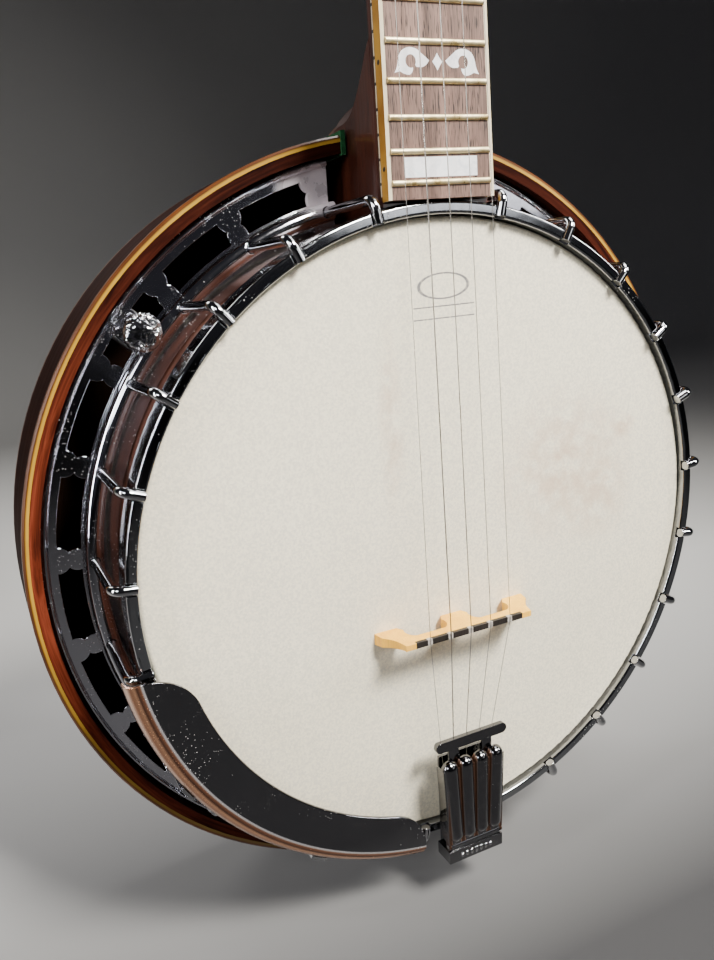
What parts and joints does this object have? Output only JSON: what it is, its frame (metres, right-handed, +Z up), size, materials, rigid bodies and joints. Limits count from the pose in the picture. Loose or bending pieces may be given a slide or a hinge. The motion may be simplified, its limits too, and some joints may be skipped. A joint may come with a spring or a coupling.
{
  "type": "five-string resonator banjo",
  "caption": "Five-string banjo with a flat plastic head in a notched hoop, a pierced one-piece flange, a dished wooden resonator, armrest and geared tuners.",
  "frame": {"origin": "lowest point of the resonator's rim, half way through the depth of its side wall, where a stand's cradle carries it", "axes": "+Z up the neck towards the headstock, -Y the way the head and strings face, +X to the right of someone facing the head"},
  "size_m": [0.3572, 0.1168, 0.9657],
  "materials": {
    "head_film": "frosted coated film, slightly aged",
    "plated_bronze": "plated cast bronze",
    "rim_wood": "satin laminated maple, stained brown",
    "steel": "plain plated steel",
    "chrome": "polished plating with light dust and wear",
    "shell_wood": "gloss mahogany",
    "binding": "aged cream plastic",
    "felt": "green felt",
    "maple": "bare maple",
    "ebony": "bare ebony",
    "bone": "bone",
    "neck_wood": "gloss mahogany",
    "board_wood": "oiled rosewood",
    "pearl": "mother of pearl",
    "fret_metal": "worn nickel silver",
    "overlay": "black gloss",
    "button_plastic": "cream pearloid",
    "string_steel": "plated steel wire"
  },
  "bodies": {
    "banjo": {"armrest_clamps": "chrome", "armrest_plate": "chrome", "bracket_hooks": "chrome", "bracket_nuts": "chrome", "bridge": "maple", "bridge_ebony": "ebony", "bridge_inserts": "bone", "coordinator_nuts": "steel", "coordinator_rods": "steel", "fifth_peg_housing": "chrome", "flange": "chrome", "flesh_hoop": "steel", "fretboard": "board_wood", "fretboard_binding": "binding", "frets": "fret_metal", "head": "head_film", "headstock_overlay": "overlay", "heel_cap": "binding", "heel_felt": "felt", "inlays": "pearl", "neck": "neck_wood", "nut": "bone", "resonator_bindings": "binding", "resonator_lugs": "steel", "resonator_shell": "shell_wood", "rim": "rim_wood", "string_1": "string_steel", "string_2": "string_steel", "string_3": "string_steel", "string_4": "string_steel", "string_5": "string_steel", "tailpiece_base": "chrome", "tailpiece_hanger": "chrome", "tailpiece_hinge_pin": "steel", "tension_hoop": "chrome", "tone_ring": "plated_bronze", "truss_rod": "steel", "truss_rod_cover": "overlay", "tuner_housings": "chrome"},
    "tuner_post_1": {"tuner_post_1": "chrome", "string_wrap_1": "string_steel"},
    "tuner_button_1": {"tuner_button_1": "button_plastic"},
    "thumbscrew_1": {"thumbscrew_1": "chrome"},
    "tuner_post_2": {"tuner_post_2": "chrome", "string_wrap_2": "string_steel"},
    "tuner_button_2": {"tuner_button_2": "button_plastic"},
    "thumbscrew_2": {"thumbscrew_2": "chrome"},
    "tuner_post_3": {"tuner_post_3": "chrome", "string_wrap_3": "string_steel"},
    "tuner_button_3": {"tuner_button_3": "button_plastic"},
    "thumbscrew_3": {"thumbscrew_3": "chrome"},
    "tuner_post_4": {"tuner_post_4": "chrome", "string_wrap_4": "string_steel"},
    "tuner_button_4": {"tuner_button_4": "button_plastic"},
    "thumbscrew_4": {"thumbscrew_4": "chrome"},
    "fifth_peg_post": {"fifth_peg_post": "chrome", "string_wrap_5": "string_steel"},
    "fifth_peg_button": {"fifth_peg_button": "button_plastic"},
    "tailpiece_cover": {"tailpiece_cover": "chrome"},
    "tailpiece_adjust_screw": {"tailpiece_adjust_screw": "chrome"}
  },
  "joints": [
    {"name": "tuner_button_1_turn", "type": "hinge", "parent": "banjo", "child": "tuner_button_1", "pos_m": [0.024, -0.04633, 0.85567], "axis": [0, 0.9697, -0.2442], "continuous": true},
    {"name": "tuner_post_1_turn", "type": "hinge", "parent": "banjo", "child": "tuner_post_1", "pos_m": [0.024, -0.04633, 0.85567], "axis": [0, 0.9697, -0.2442], "continuous": true},
    {"name": "tuner_button_2_turn", "type": "hinge", "parent": "banjo", "child": "tuner_button_2", "pos_m": [0.022, -0.03216, 0.91191], "axis": [0, 0.9697, -0.2442], "continuous": true},
    {"name": "tuner_post_2_turn", "type": "hinge", "parent": "banjo", "child": "tuner_post_2", "pos_m": [0.022, -0.03216, 0.91191], "axis": [0, 0.9697, -0.2442], "continuous": true},
    {"name": "tuner_button_3_turn", "type": "hinge", "parent": "banjo", "child": "tuner_button_3", "pos_m": [-0.022, -0.03216, 0.91191], "axis": [0, 0.9697, -0.2442], "continuous": true},
    {"name": "tuner_post_3_turn", "type": "hinge", "parent": "banjo", "child": "tuner_post_3", "pos_m": [-0.022, -0.03216, 0.91191], "axis": [0, 0.9697, -0.2442], "continuous": true},
    {"name": "tuner_button_4_turn", "type": "hinge", "parent": "banjo", "child": "tuner_button_4", "pos_m": [-0.024, -0.04633, 0.85567], "axis": [0, 0.9697, -0.2442], "continuous": true},
    {"name": "tuner_post_4_turn", "type": "hinge", "parent": "banjo", "child": "tuner_post_4", "pos_m": [-0.024, -0.04633, 0.85567], "axis": [0, 0.9697, -0.2442], "continuous": true},
    {"name": "fifth_peg_button_turn", "type": "hinge", "parent": "banjo", "child": "fifth_peg_button", "pos_m": [-0.01572, -0.05143, 0.66131], "axis": [-1, 0, 0], "continuous": true},
    {"name": "fifth_peg_post_turn", "type": "hinge", "parent": "banjo", "child": "fifth_peg_post", "pos_m": [-0.01572, -0.05143, 0.66131], "axis": [-1, 0, 0], "continuous": true},
    {"name": "thumbscrew_1_turn", "type": "hinge", "parent": "banjo", "child": "thumbscrew_1", "pos_m": [-0.11732, -0.0645, 0.28442], "axis": [0, -1, 0], "continuous": true},
    {"name": "thumbscrew_2_turn", "type": "hinge", "parent": "banjo", "child": "thumbscrew_2", "pos_m": [0.11732, -0.0645, 0.28442], "axis": [0, -1, 0], "continuous": true},
    {"name": "thumbscrew_3_turn", "type": "hinge", "parent": "banjo", "child": "thumbscrew_3", "pos_m": [-0.11135, -0.0645, 0.06651], "axis": [0, -1, 0], "continuous": true},
    {"name": "thumbscrew_4_turn", "type": "hinge", "parent": "banjo", "child": "thumbscrew_4", "pos_m": [0.11135, -0.0645, 0.06651], "axis": [0, -1, 0], "continuous": true},
    {"name": "tailpiece_cover_hinge", "type": "hinge", "parent": "banjo", "child": "tailpiece_cover", "pos_m": [0, -0.0787, 0.0326], "axis": [1, 0, 0], "range_deg": [0, 100]},
    {"name": "tailpiece_adjust_turn", "type": "hinge", "parent": "banjo", "child": "tailpiece_adjust_screw", "pos_m": [0, -0.0605, 0.0246], "axis": [0, 0, -1], "continuous": true}
  ],
  "couplings": [
    {"joint": "tuner_post_1_turn", "follows": "tuner_button_1_turn", "ratio": 0.25},
    {"joint": "tuner_post_2_turn", "follows": "tuner_button_2_turn", "ratio": 0.25},
    {"joint": "tuner_post_3_turn", "follows": "tuner_button_3_turn", "ratio": 0.25},
    {"joint": "tuner_post_4_turn", "follows": "tuner_button_4_turn", "ratio": 0.25},
    {"joint": "fifth_peg_post_turn", "follows": "fifth_peg_button_turn", "ratio": 0.25}
  ]
}
